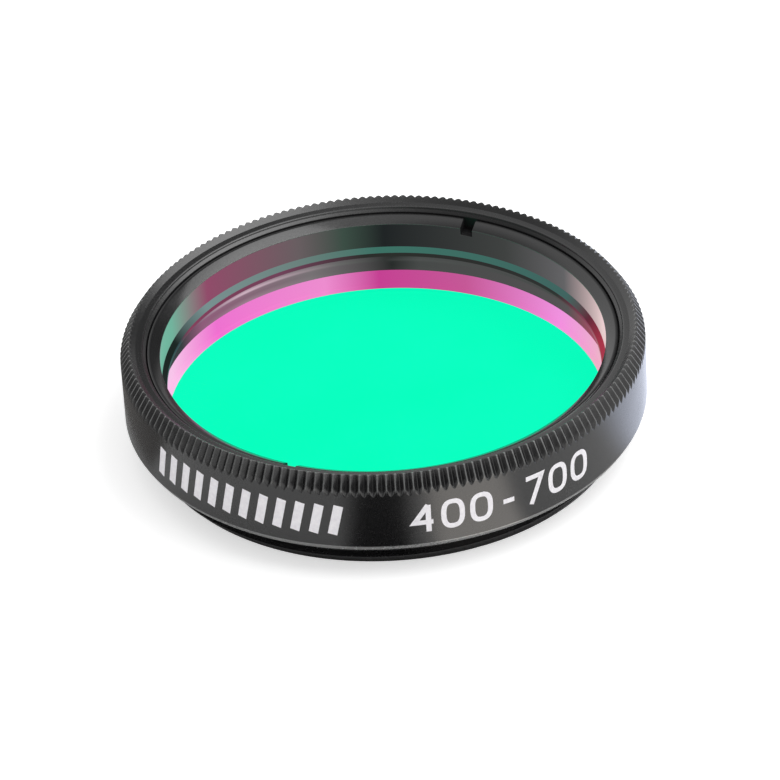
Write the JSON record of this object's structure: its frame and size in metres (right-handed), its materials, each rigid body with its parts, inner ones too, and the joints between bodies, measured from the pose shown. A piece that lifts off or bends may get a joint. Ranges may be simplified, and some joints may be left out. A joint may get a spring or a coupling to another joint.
{
  "type": "infrared cut filter",
  "caption": "Round screw-in optical filter: a knurled, flanged and threaded cell holds a coated glass disc under a slotted retaining ring. It passes visible light and blocks infrared.",
  "frame": {"origin": "centre of the face that the filter stands on, the end of its outside thread", "axes": "+Z along the optical axis, from the outside thread towards the knurled rim; +X and +Y across it"},
  "size_m": [0.0312, 0.0312, 0.0069],
  "materials": {
    "cell_black": "black anodised, turned and knurled",
    "coated_glass": "polished, with an interference coating",
    "ring_black": "black anodised, turned"
  },
  "bodies": {
    "root": {"filter_cell": "cell_black", "filter_glass": "coated_glass", "retaining_ring": "ring_black"}
  },
  "joints": []
}
